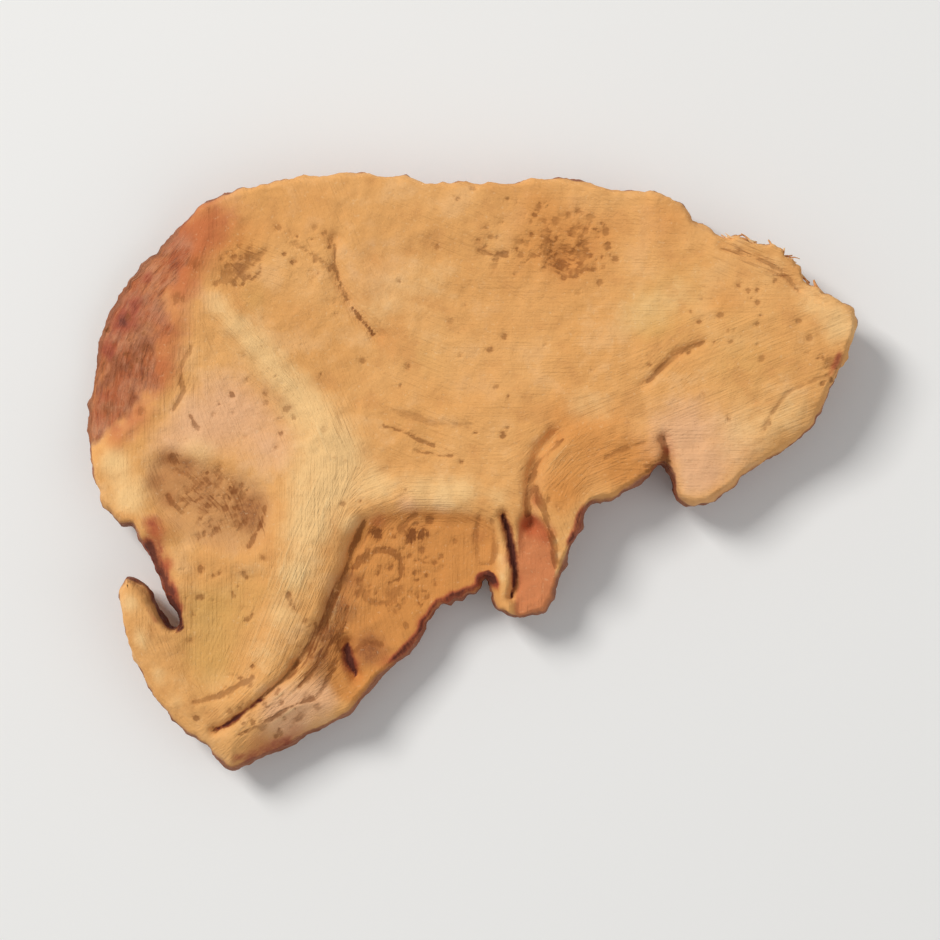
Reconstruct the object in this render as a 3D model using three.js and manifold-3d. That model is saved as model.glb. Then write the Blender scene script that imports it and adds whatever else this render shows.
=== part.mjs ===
// One dried slice of galangal root, cut lengthwise through a fork of the rhizome: a flat, lobed
// piece with two cut faces and the reddish skin of the root round its rim. It is one solid.
// Millimetres, +Z up. The slice lies on its underside, and its box stands centred on the origin.
// Plan coordinates run over the upper cut face: x to the right lobe, y to the far edge.
import * as THREE from "three";
import { mergeVertices } from "three/addons/utils/BufferGeometryUtils.js";
import Module from "manifold-3d";

const wasm = await Module();
wasm.setup();

// Driving dimensions.
const THICKNESS = 4.3;
const UPPER_CELL = 0.92; // spacing of the points that carry the relief of the upper face
const LOWER_CELL = 2.1; // the same for the plainer underside
const OUTLINE_STEP = 0.95; // spacing of the points round the rim
const RIM_ROUND = 0.45; // how far the rim draws in where it meets a face
const LIFT = 0.55; // height of the underside over the table, away from its resting spots
const FACE_MARGIN = 3; // the blank that the outline is cut from is this much larger all round

// The rim as seen from above, counter-clockwise from the upper left: x, y and the width of the
// band of skin that slopes down from the cut face to the rim there.
const RIM = [
  [-23.0, 19.9, 2.2], [-24.4, 18.4, 3.0], [-25.9, 16.9, 4.0], [-27.4, 15.3, 4.8], [-28.5, 13.5, 5.0],
  [-29.4, 11.7, 5.3], [-30.1, 9.6, 5.8], [-30.5, 7.4, 6.0], [-30.9, 5.0, 5.0], [-31.1, 2.9, 3.4],
  [-31.0, 0.9, 2.0], [-30.5, -1.0, 1.2], [-29.9, -3.0, 1.0], [-28.6, -4.5, 1.0], [-27.1, -5.2, 1.3],
  [-26.2, -6.9, 2.0], [-25.3, -9.0, 2.0], [-24.5, -11.2, 1.4], [-23.7, -12.7, 0.8], [-24.3, -13.0, 0.8],
  [-25.4, -11.6, 0.8], [-26.5, -10.0, 0.8], [-27.4, -9.1, 0.8], [-28.1, -9.6, 0.8], [-28.2, -11.6, 0.9],
  [-27.9, -13.8, 1.0], [-27.1, -16.0, 1.0], [-25.9, -18.2, 1.0], [-24.4, -20.3, 1.1],
  [-22.6, -21.9, 1.4], [-20.9, -23.3, 1.8], [-19.4, -24.5, 2.1], [-17.6, -24.0, 2.3],
  [-15.8, -23.2, 2.5], [-13.8, -22.1, 2.5], [-11.8, -21.3, 2.3], [-10.1, -20.4, 1.9], [-8.8, -18.9, 1.5],
  [-7.3, -17.2, 1.2], [-5.5, -15.7, 1.0], [-4.1, -14.2, 1.0], [-3.2, -12.7, 1.0], [-2.1, -11.5, 0.9],
  [-0.6, -10.8, 0.9], [0.7, -10.2, 0.8], [1.4, -9.5, 0.7], [1.9, -10.6, 0.7], [2.5, -12.0, 0.9],
  [4.2, -12.5, 1.2], [5.9, -12.0, 1.3], [7.0, -10.6, 1.1], [7.6, -8.9, 0.9], [8.0, -7.3, 0.8],
  [8.8, -5.9, 0.8], [9.3, -4.4, 0.9], [10.1, -3.0, 1.0], [11.7, -2.6, 1.1], [13.2, -1.7, 1.1],
  [14.7, -0.8, 0.9], [15.8, 0.1, 0.7], [16.4, -0.7, 0.7], [16.6, -2.1, 0.8], [17.6, -3.0, 1.0],
  [19.3, -3.0, 1.2], [21.0, -2.0, 1.4], [22.9, -0.4, 1.7], [24.9, 1.0, 1.9], [27.0, 2.3, 2.0],
  [28.4, 4.3, 1.7], [29.2, 6.2, 1.1], [30.0, 8.0, 0.9], [30.8, 9.8, 0.9], [31.2, 11.4, 0.9],
  [30.7, 12.8, 0.9], [29.2, 13.9, 0.8], [27.5, 15.0, 0.8], [26.2, 16.4, 0.8], [24.8, 17.6, 0.8],
  [22.6, 18.4, 0.8], [20.2, 19.1, 0.8], [18.2, 19.8, 0.9], [17.4, 21.1, 1.0], [15.6, 22.1, 1.1],
  [12.8, 22.3, 1.1], [10.1, 22.8, 1.2], [7.0, 23.3, 1.2], [3.6, 23.1, 1.1], [0.4, 22.8, 1.1],
  [-3.0, 23.1, 1.1], [-6.4, 23.6, 1.2], [-9.8, 23.7, 1.3], [-13.2, 23.4, 1.4], [-16.4, 22.9, 1.4],
  [-19.2, 22.2, 1.4], [-21.4, 21.2, 1.4],
];

// Areas of the upper face that dried lower or higher than the rest. height is the step in
// level and wall the width over which it happens.
const FIELDS = [
  { name: "left bud", height: -0.8, wall: 2.2, ring: [
    [-26.0, -0.6], [-24.8, 0.7], [-22.4, 0.5], [-20.0, -0.3], [-17.6, -1.3], [-16.1, -2.6],
    [-16.2, -4.4], [-17.2, -6.5], [-19.4, -7.0], [-22.0, -6.4], [-24.0, -5.0], [-25.6, -3.2]] },
  { name: "lower left lobe", height: -0.55, wall: 2.6, ring: [
    [-23.4, -6.2], [-20.4, -7.8], [-17.9, -8.6], [-17.1, -11.0], [-16.7, -14.0], [-17.6, -17.2],
    [-20.2, -18.4], [-22.8, -16.9], [-23.6, -14.2], [-22.9, -10.0]] },
  { name: "right bud", height: -0.9, wall: 2.2, ring: [
    [-10.3, -8.2], [-9.4, -5.7], [-7.8, -4.3], [-5.0, -3.8], [-2.0, -3.9], [0.7, -4.1], [1.9, -5.0],
    [2.2, -7.0], [2.0, -9.5], [1.4, -13.0], [-2.0, -15.5], [-6.0, -19.5], [-10.4, -19.0],
    [-11.7, -15.8], [-11.4, -12.0]] },
  { name: "small lobe", height: 0.5, wall: 1.5, ring: [
    [5.9, -6.4], [5.3, -3.2], [5.5, -0.6], [6.3, 1.3], [8.0, 2.8], [10.6, 3.5], [13.4, 3.2],
    [15.6, 2.2], [16.0, 0.2], [14.0, -3.6], [10.0, -6.0], [8.6, -9.0]] },
  { name: "skin flap", height: -0.9, wall: 0.9, ring: [
    [4.1, -4.6], [5.5, -4.3], [6.5, -5.8], [7.4, -8.2], [7.6, -11.0], [6.0, -13.5], [3.7, -13.5],
    [3.9, -9.0]] },
];

// Ridges (positive height) and grooves (negative) that run along a line, with a half width.
const LINES = [
  { name: "pale bundle", height: 0.55, half: 2.3, path: [
    [-11.4, 2.0], [-12.3, -2.0], [-12.9, -6.0], [-14.1, -10.5], [-15.9, -14.8], [-18.0, -18.2]] },
  { name: "upper bundle", height: 0.24, half: 1.1, path: [
    [-20.8, 12.8], [-18.0, 10.0], [-15.5, 7.5], [-13.0, 5.0], [-11.2, 2.6]] },
  { name: "brow over the right bud", height: 0.2, half: 1.4, path: [
    [-9.7, -4.6], [-8.0, -3.1], [-5.0, -2.6], [-1.5, -2.6], [1.6, -2.9], [3.8, -3.5]] },
  { name: "left arm", height: 0.4, half: 1.3, path: [
    [-27.4, -10.2], [-26.6, -13.5], [-25.1, -16.5], [-23.0, -19.4]] },
  { name: "crack by the flap", height: -1.4, half: 0.7, path: [
    [2.7, -4.05], [3.05, -5.1], [3.4, -6.6], [3.6, -8.0], [3.7, -9.4], [3.35, -10.7]] },
  { name: "pit at the lower edge", height: -0.9, half: 0.8, path: [
    [-10.0, -14.3], [-9.9, -15.7], [-9.4, -17.0]] },
  { name: "fold beside the small lobe", height: -0.85, half: 0.75, path: [
    [5.0, -4.8], [4.9, -3.0], [5.0, -1.0], [5.7, 0.9], [6.9, 2.3]] },
  { name: "split of the small lobe", height: -0.9, half: 0.75, path: [
    [15.9, -0.2], [16.1, 1.0], [15.8, 2.1]] },
  { name: "bark line", height: -0.5, half: 0.65, path: [
    [-20.6, -21.5], [-19.0, -20.6], [-17.3, -19.3], [-15.4, -18.2], [-13.9, -17.3]] },
  { name: "fibres beside the right bud", height: -0.5, half: 0.8, path: [
    [-9.4, -6.2], [-10.5, -9.6], [-11.8, -13.0], [-13.3, -16.2]] },
  { name: "upper arc", height: -0.38, half: 0.85, path: [
    [-10.9, 18.2], [-10.8, 16.4], [-10.4, 14.8], [-9.6, 13.2], [-8.6, 11.8], [-7.3, 10.5]] },
  { name: "crease of the right lobe", height: -0.38, half: 0.85, path: [
    [14.0, 6.4], [15.4, 7.8], [16.8, 8.9], [18.5, 9.8]] },
  { name: "pit of the upper bud", height: -0.6, half: 1.2, path: [
    [7.2, 17.0], [7.7, 16.3]] },
];

// The slice dried slightly dished, with its right lobe and its left arm curling up the most.
const DISH = [
  { rise: 1.5, x: 31, y: 11, reach: 20 },
  { rise: 1.2, x: -28, y: -14, reach: 14 },
  { rise: 0.9, x: -20, y: 24, reach: 16 },
  { rise: 0.5, x: 6, y: -13, reach: 11 },
];

// Low points of the underside, worn flat, on which it rests.
const RESTS = [
  { x: -18, y: -10, reach: 6.5 },
  { x: 17, y: 2.5, reach: 6.5 },
  { x: -4, y: 16.5, reach: 6.5 },
];

const smooth = (t) => THREE.MathUtils.smoothstep(t, 0, 1);
const hump = (distance, half) => Math.exp(-((distance / half) ** 2));

// A smooth curve through plan points, as short straight pieces.
function curvePoints(points, closed, step) {
  const curve = new THREE.CatmullRomCurve3(
    points.map(([x, y, band = 0]) => new THREE.Vector3(x, y, band)),
    closed,
    "catmullrom",
    0.5,
  );
  const count = Math.round(curve.getLength() / step);
  const found = curve.getPoints(count * 4).filter((_, i) => i % 4 === 0);
  return closed ? found.slice(0, -1) : found;
}

// The nearest place on a line of short pieces: how far it is, and the band width there.
function nearest(points, closed, x, y) {
  let best = { distance: Infinity, band: 0 };
  const last = closed ? points.length : points.length - 1;
  for (let i = 0; i < last; i++) {
    const a = points[i];
    const b = points[(i + 1) % points.length];
    const dx = b.x - a.x;
    const dy = b.y - a.y;
    const along = ((x - a.x) * dx + (y - a.y) * dy) / (dx * dx + dy * dy);
    const t = THREE.MathUtils.clamp(along, 0, 1);
    const distance = Math.hypot(x - a.x - t * dx, y - a.y - t * dy);
    if (distance < best.distance) best = { distance, band: a.z + t * (b.z - a.z) };
  }
  return best;
}

function inside(points, x, y) {
  let odd = false;
  points.forEach((a, i) => {
    const b = points[(i + 1) % points.length];
    if (a.y > y !== b.y > y && x < a.x + ((y - a.y) / (b.y - a.y)) * (b.x - a.x)) odd = !odd;
  });
  return odd;
}

const rim = curvePoints(RIM, true, OUTLINE_STEP);
const fields = FIELDS.map((f) => ({ ...f, points: curvePoints(f.ring, true, 0.8) }));
const lines = LINES.map((l) => ({ ...l, points: curvePoints(l.path, false, 0.8) }));

// Wide, shallow waves left by uneven drying.
function waves(x, y) {
  return (
    0.22 * Math.sin(0.21 * x + 0.13 * y + 0.6) +
    0.16 * Math.sin(0.12 * x - 0.31 * y + 2.1) +
    0.1 * Math.sin(0.47 * x + 0.38 * y - 1.0)
  );
}

function dish(x, y) {
  return DISH.reduce((z, d) => z + d.rise * hump(Math.hypot(x - d.x, y - d.y), d.reach), 0);
}

function underside(x, y) {
  let z = LIFT + dish(x, y) + 0.5 * waves(y + 9, x - 4);
  for (const r of RESTS) z *= Math.max(0, 1 - 1.3 * hump(Math.hypot(x - r.x, y - r.y), r.reach));
  return Math.max(0, z);
}

function upperFace(x, y) {
  let z = LIFT + dish(x, y) + THICKNESS + waves(x, y);
  for (const f of fields) {
    const side = inside(f.points, x, y) ? 1 : -1;
    const depth = side * nearest(f.points, true, x, y).distance;
    z += f.height * smooth(depth / f.wall + 0.5);
  }
  for (const l of lines) z += l.height * hump(nearest(l.points, false, x, y).distance, l.half);
  return z;
}

// The upper side, with the band of skin that falls away to the rim. A band as narrow as
// NARROW_BAND is the rounding of the rim alone.
const NARROW_BAND = 1.3;
const RIM_LEVEL = 0.32; // where the skin ends at the rim, as a share of the thickness
const skinShare = (band) => smooth((band - NARROW_BAND) / 2);
function upperSide(x, y) {
  const face = upperFace(x, y);
  const { distance, band } = nearest(rim, true, x, y);
  const from = inside(rim, x, y) ? distance : 0;
  if (from >= band) return face;
  const low = underside(x, y) + RIM_LEVEL * THICKNESS;
  const skin = low + (face - low) * Math.pow(from / band, 0.75);
  return face + skinShare(band) * (skin - face);
}

function solidOf(geometry) {
  geometry.deleteAttribute("normal");
  geometry.deleteAttribute("uv");
  const merged = mergeVertices(geometry, 1e-4);
  return new wasm.Manifold(
    new wasm.Mesh({
      numProp: 3,
      vertProperties: new Float32Array(merged.getAttribute("position").array),
      triVerts: new Uint32Array(merged.index.array),
    }),
  );
}

// A slab under the whole outline, with its points spaced by cell and moved by place.
function slab(cell, place) {
  const box = new THREE.Box2().setFromPoints(rim.map((p) => new THREE.Vector2(p.x, p.y)));
  const size = box.getSize(new THREE.Vector2()).addScalar(2 * FACE_MARGIN);
  const middle = box.getCenter(new THREE.Vector2());
  const columns = Math.round(size.x / cell);
  const rows = Math.round(size.y / cell);
  const block = new THREE.BoxGeometry(size.x, size.y, 1, columns, rows, 1);
  const position = block.getAttribute("position");
  for (let i = 0; i < position.count; i++) {
    const x = position.getX(i) + middle.x;
    const y = position.getY(i) + middle.y;
    position.setXYZ(i, ...place(x, y, position.getZ(i) > 0));
  }
  return solidOf(block);
}

// The blank: a lower slab with the relief of the underside, joined to an upper slab with that
// of the upper face. Points of the upper face that are close to a groove move onto it.
function blank() {
  const join = LIFT + 0.35 * THICKNESS;
  const grooves = lines.filter((l) => l.height < -0.3).flatMap((l) => l.points);
  const lower = slab(LOWER_CELL, (x, y, top) => [
    x, y, top ? join + dish(x, y) + 0.3 : underside(x, y),
  ]);
  const upper = slab(UPPER_CELL, (x, y, top) => {
    if (!top) return [x, y, join + dish(x, y) - 0.3];
    const p = grooves.find((g) => Math.hypot(g.x - x, g.y - y) < 0.45 * UPPER_CELL) ?? { x, y };
    return [p.x, p.y, upperSide(p.x, p.y)];
  });
  return lower.add(upper);
}

// The cutter: a wall along the rim, drawn in where it meets the two cut faces, which leaves
// the rim of the slice rounded.
function cutter() {
  const levels = [
    { share: 0, beyond: -9, draw: 1 },
    { share: 0, beyond: 0, draw: 1 },
    { share: 0.22, beyond: 0, draw: 0.25 },
    { share: 0.5, beyond: 0, draw: 0 },
    { share: 0.78, beyond: 0, draw: 0.25, upper: true },
    { share: 1, beyond: 0, draw: 1, upper: true },
    { share: 1, beyond: 9, draw: 1, upper: true },
  ];
  const steps = levels.length - 1;
  const shape = new THREE.Shape(rim.map((p) => new THREE.Vector2(p.x, p.y)));
  const wall = new THREE.ExtrudeGeometry(shape, { depth: steps, steps, bevelEnabled: false });
  const position = wall.getAttribute("position");
  for (let i = 0; i < position.count; i++) {
    const x = position.getX(i);
    const y = position.getY(i);
    const at = rim.findIndex((p) => Math.hypot(p.x - x, p.y - y) < 1e-3);
    const before = rim[(at + rim.length - 1) % rim.length];
    const after = rim[(at + 1) % rim.length];
    const out = new THREE.Vector2(after.y - before.y, before.x - after.x).normalize();
    const level = levels[Math.round(position.getZ(i))];
    const low = underside(x, y);
    const high = upperSide(x, y);
    const draw = level.draw * RIM_ROUND * (level.upper ? 1 - skinShare(rim[at].z) : 1);
    position.setXYZ(
      i,
      x - out.x * draw,
      y - out.y * draw,
      low + level.share * (high - low) + level.beyond,
    );
  }
  return solidOf(wall);
}

function geometryOf(solid) {
  const mesh = solid.getMesh();
  const geometry = new THREE.BufferGeometry();
  geometry.setAttribute("position", new THREE.BufferAttribute(mesh.vertProperties, 3));
  geometry.setIndex(new THREE.BufferAttribute(mesh.triVerts, 1));
  geometry.computeVertexNormals();
  return geometry;
}

const skinned = new THREE.MeshStandardMaterial({ color: 0xd99c5e, roughness: 0.8, metalness: 0 });
const geometry = geometryOf(blank().intersect(cutter()));
geometry.computeBoundingBox();
const middle = geometry.boundingBox.getCenter(new THREE.Vector3());
geometry.translate(-middle.x, -middle.y, 0);

const slice = new THREE.Mesh(geometry, skinned);
slice.name = "galangal_slice";

const root = new THREE.Group();
root.add(slice);
export default root;
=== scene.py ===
import math
import bmesh
import bpy
import numpy as np
from mathutils import Matrix, Vector


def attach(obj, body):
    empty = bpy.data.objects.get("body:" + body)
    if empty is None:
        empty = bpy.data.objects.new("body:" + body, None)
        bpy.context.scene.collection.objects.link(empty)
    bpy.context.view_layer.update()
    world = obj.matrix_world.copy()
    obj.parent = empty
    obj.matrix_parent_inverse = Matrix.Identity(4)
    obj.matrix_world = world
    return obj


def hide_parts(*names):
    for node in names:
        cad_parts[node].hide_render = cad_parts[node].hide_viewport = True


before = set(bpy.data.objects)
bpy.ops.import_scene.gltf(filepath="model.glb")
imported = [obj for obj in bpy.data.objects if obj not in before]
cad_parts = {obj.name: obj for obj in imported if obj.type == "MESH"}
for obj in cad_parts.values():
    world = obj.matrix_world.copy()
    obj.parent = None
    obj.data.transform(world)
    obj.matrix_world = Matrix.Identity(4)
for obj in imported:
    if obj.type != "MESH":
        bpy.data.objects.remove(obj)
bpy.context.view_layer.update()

# THE SHEET OF THE SLICE
# The slice was cut lengthwise through a fork of the root, about four millimetres thick, and
# shrank as it dried. Its outline is read in millimetres over the upper cut face: x, y and the
# width of the band of skin that slopes down from the cut face to the rim there.
RIM = [
    (-23.0, 19.9, 2.2), (-24.4, 18.4, 3.0), (-25.9, 16.9, 4.0), (-27.4, 15.3, 4.8),
    (-28.5, 13.5, 5.0), (-29.4, 11.7, 5.3), (-30.1, 9.6, 5.8), (-30.5, 7.4, 6.0),
    (-30.9, 5.0, 5.0), (-31.1, 2.9, 3.4), (-31.0, 0.9, 2.0), (-30.5, -1.0, 1.2),
    (-29.9, -3.0, 1.0), (-28.6, -4.5, 1.0), (-27.1, -5.2, 1.3), (-26.2, -6.9, 2.0),
    (-25.3, -9.0, 2.0), (-24.5, -11.2, 1.4), (-23.7, -12.7, 0.8), (-24.3, -13.0, 0.8),
    (-25.4, -11.6, 0.8), (-26.5, -10.0, 0.8), (-27.4, -9.1, 0.8), (-28.1, -9.6, 0.8),
    (-28.2, -11.6, 0.9), (-27.9, -13.8, 1.0), (-27.1, -16.0, 1.0), (-25.9, -18.2, 1.0),
    (-24.4, -20.3, 1.1), (-22.6, -21.9, 1.4), (-20.9, -23.3, 1.8), (-19.4, -24.5, 2.1),
    (-17.6, -24.0, 2.3), (-15.8, -23.2, 2.5), (-13.8, -22.1, 2.5), (-11.8, -21.3, 2.3),
    (-10.1, -20.4, 1.9), (-8.8, -18.9, 1.5), (-7.3, -17.2, 1.2), (-5.5, -15.7, 1.0),
    (-4.1, -14.2, 1.0), (-3.2, -12.7, 1.0), (-2.1, -11.5, 0.9), (-0.6, -10.8, 0.9),
    (0.7, -10.2, 0.8), (1.4, -9.5, 0.7), (1.9, -10.6, 0.7), (2.5, -12.0, 0.9),
    (4.2, -12.5, 1.2), (5.9, -12.0, 1.3), (7.0, -10.6, 1.1), (7.6, -8.9, 0.9),
    (8.0, -7.3, 0.8), (8.8, -5.9, 0.8), (9.3, -4.4, 0.9), (10.1, -3.0, 1.0),
    (11.7, -2.6, 1.1), (13.2, -1.7, 1.1), (14.7, -0.8, 0.9), (15.8, 0.1, 0.7),
    (16.4, -0.7, 0.7), (16.6, -2.1, 0.8), (17.6, -3.0, 1.0), (19.3, -3.0, 1.2),
    (21.0, -2.0, 1.4), (22.9, -0.4, 1.7), (24.9, 1.0, 1.9), (27.0, 2.3, 2.0),
    (28.4, 4.3, 1.7), (29.2, 6.2, 1.1), (30.0, 8.0, 0.9), (30.8, 9.8, 0.9),
    (31.2, 11.4, 0.9), (30.7, 12.8, 0.9), (29.2, 13.9, 0.8), (27.5, 15.0, 0.8),
    (26.2, 16.4, 0.8), (24.8, 17.6, 0.8), (22.6, 18.4, 0.8), (20.2, 19.1, 0.8),
    (18.2, 19.8, 0.9), (17.4, 21.1, 1.0), (15.6, 22.1, 1.1), (12.8, 22.3, 1.1),
    (10.1, 22.8, 1.2), (7.0, 23.3, 1.2), (3.6, 23.1, 1.1), (0.4, 22.8, 1.1),
    (-3.0, 23.1, 1.1), (-6.4, 23.6, 1.2), (-9.8, 23.7, 1.3), (-13.2, 23.4, 1.4),
    (-16.4, 22.9, 1.4), (-19.2, 22.2, 1.4), (-21.4, 21.2, 1.4),
]
MM = 0.001
CELL = 0.23  # width of a square of the mesh
RIM_ROWS = 11  # cuts that part the wall round the rim
EVENING_ROUNDS = 30  # for the points along the rim
SOFTENING_ROUNDS = 6  # for the squares beside it
TOP, BOTTOM = 1.0, 0.0
AT_ONCE = 6000  # points that are measured in one go


def curve(points, closed=False, pieces=8):
    """A smooth line through the points, as many short straight pieces."""
    p = np.array(points, float)
    if closed:
        p = np.vstack([p[-1:], p, p[:2]])
    else:
        p = np.vstack([2 * p[:1] - p[1:2], p, 2 * p[-1:] - p[-2:-1]])
    t = np.linspace(0, 1, pieces, endpoint=False)[:, None]
    runs = []
    for a, b, c, d in zip(p, p[1:], p[2:], p[3:]):
        squared, cubed = 2 * a - 5 * b + 4 * c - d, 3 * b - a - 3 * c + d
        runs.append(0.5 * (2 * b + (c - a) * t + squared * t**2 + cubed * t**3))
    line = np.vstack(runs)
    return np.vstack([line, line[:1] if closed else p[-2:-1]])


def nearest(line, x, y):
    """Distance to the line from each x, y, with the place along it and the outward normal."""
    a, b = line[:-1, :2], line[1:, :2]
    run = b - a
    long = np.hypot(run[:, 0], run[:, 1])
    start = np.concatenate([[0], np.cumsum(long)[:-1]])
    found = []
    for i in range(0, len(x), AT_ONCE):
        dx = x[i : i + AT_ONCE, None] - a[:, 0]
        dy = y[i : i + AT_ONCE, None] - a[:, 1]
        t = np.clip((dx * run[:, 0] + dy * run[:, 1]) / long**2, 0, 1)
        away = (dx - t * run[:, 0]) ** 2 + (dy - t * run[:, 1]) ** 2
        k = away.argmin(1)
        rows = np.arange(len(k))
        place = start[k] + t[rows, k] * long[k]
        out = np.stack([run[k, 1], -run[k, 0]], 1) / long[k, None]
        found.append(np.column_stack([np.sqrt(away[rows, k]), place, out]))
    return np.vstack(found).T


def inside(line, x, y):
    """Whether each x, y lies within the closed line."""
    odd = np.zeros(len(x), bool)
    for (ax, ay), (bx, by) in zip(line[:-1, :2], line[1:, :2]):
        if ay != by:
            odd ^= ((ay > y) != (by > y)) & (x < ax + (y - ay) / (by - ay) * (bx - ax))
    return odd


rim = curve(RIM, closed=True)
rim_run = np.concatenate([[0], np.cumsum(np.hypot(*np.diff(rim[:, :2], axis=0).T))])
low, high = rim[:, :2].min(0), rim[:, :2].max(0)
middle = (low + high) / 2

bm = bmesh.new()
cells = np.round((high - low + 1) / CELL).astype(int)
bmesh.ops.create_grid(
    bm,
    x_segments=int(cells[0]),
    y_segments=int(cells[1]),
    size=0.5,
    matrix=Matrix.Translation((*middle, TOP)) @ Matrix.Diagonal((*(cells * CELL), 1, 1)),
)
centres = np.array([f.calc_center_median()[:2] for f in bm.faces])
kept = inside(rim, *centres.T)
bmesh.ops.delete(bm, geom=[f for f, k in zip(bm.faces, kept) if not k], context="FACES")

# The stepped edge of the sheet moves onto the outline, evenly spaced along it.
edge = next(e for e in bm.edges if e.is_boundary)
loop = [edge.verts[0], edge.verts[1]]
while True:
    edge = next(e for e in loop[-1].link_edges if e.is_boundary and e is not edge)
    if edge.other_vert(loop[-1]) is loop[0]:
        break
    loop.append(edge.other_vert(loop[-1]))
along = nearest(rim, *np.array([v.co[:2] for v in loop]).T)[1]
along = np.unwrap(along, period=rim_run[-1])
turn = rim_run[-1] * np.sign(along[-1] - along[0])
for _ in range(EVENING_ROUNDS):
    before = np.concatenate([[along[-1] - turn], along[:-1]])
    after = np.concatenate([along[1:], [along[0] + turn]])
    along = 0.5 * along + 0.25 * (before + after)
for v, s in zip(loop, along % rim_run[-1]):
    v.co.x = np.interp(s, rim_run, rim[:, 0])
    v.co.y = np.interp(s, rim_run, rim[:, 1])
near = {v for e in loop for f in e.link_faces for v in f.verts}
near = {v for e in near for f in e.link_faces for v in f.verts} - set(loop)
for _ in range(SOFTENING_ROUNDS):
    bmesh.ops.smooth_vert(bm, verts=list(near), factor=0.5, use_axis_x=True, use_axis_y=True)

# The underside is the same sheet again, and the wall between them is parted into rows. Until
# the slice gets its shape, z only tells how far up the wall a point is.
sheet = bm.faces[:] + bm.edges[:] + bm.verts[:]
wall = bmesh.ops.extrude_face_region(bm, geom=sheet, use_keep_orig=True)
for v in wall["geom"]:
    if isinstance(v, bmesh.types.BMVert):
        v.co.z = BOTTOM
upright = [e for e in bm.edges if abs(e.verts[0].co.z - e.verts[1].co.z) > 0.5]
bmesh.ops.subdivide_edges(bm, edges=upright, cuts=RIM_ROWS, use_grid_fill=True)
bmesh.ops.recalc_face_normals(bm, faces=bm.faces)
# The wall is made in another order each time, so points and faces are put in order of place.
for elements, place in (
    (bm.verts, lambda v: v.co[:]),
    (bm.faces, lambda f: f.calc_center_median()[:]),
):
    for index, element in enumerate(sorted(elements, key=place)):
        element.index = index
    elements.sort()
flat = bpy.data.meshes.new("galangal_slice_mesh")
bm.to_mesh(flat)
bm.free()

# THE RELIEF OF THE SLICE
# Drying drew the softer parts in and left the bundles of fibre standing, and the whole slice
# dished a little. Where it lies on its underside, three low spots carry it.
THICKNESS = 4.3
LIFT = 0.55  # height of the underside over the floor before it dishes
RIM_ROUND = 0.45
NARROW_BAND = 1.3  # a band of skin up to this wide stays upright
RIM_LEVEL = 0.32  # how far up the thickness a wide band of skin ends
FIELDS = {  # height, width of the sloping wall, and the outline of each sunken or raised place
    "left bud": (-0.8, 2.2, [
        (-26.0, -0.6), (-24.8, 0.7), (-22.4, 0.5), (-20.0, -0.3), (-17.6, -1.3),
        (-16.1, -2.6), (-16.2, -4.4), (-17.2, -6.5), (-19.4, -7.0), (-22.0, -6.4),
        (-24.0, -5.0), (-25.6, -3.2)]),
    "lower left lobe": (-0.55, 2.6, [
        (-23.4, -6.2), (-20.4, -7.8), (-17.9, -8.6), (-17.1, -11.0), (-16.7, -14.0),
        (-17.6, -17.2), (-20.2, -18.4), (-22.8, -16.9), (-23.6, -14.2), (-22.9, -10.0)]),
    "right bud": (-0.9, 2.2, [
        (-10.3, -8.2), (-9.4, -5.7), (-7.8, -4.3), (-5.0, -3.8), (-2.0, -3.9), (0.7, -4.1),
        (1.9, -5.0), (2.2, -7.0), (2.0, -9.5), (1.4, -13.0), (-2.0, -15.5), (-6.0, -19.5),
        (-10.4, -19.0), (-11.7, -15.8), (-11.4, -12.0)]),
    "small lobe": (0.5, 1.5, [
        (5.9, -6.4), (5.3, -3.2), (5.5, -0.6), (6.3, 1.3), (8.0, 2.8), (10.6, 3.5), (13.4, 3.2),
        (15.6, 2.2), (16.0, 0.2), (14.0, -3.6), (10.0, -6.0), (8.6, -9.0)]),
    "skin flap": (-0.9, 0.9, [
        (4.1, -4.6), (5.5, -4.3), (6.5, -5.8), (7.4, -8.2), (7.6, -11.0), (6.0, -13.5),
        (3.7, -13.5), (3.9, -9.0)]),
}
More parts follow.
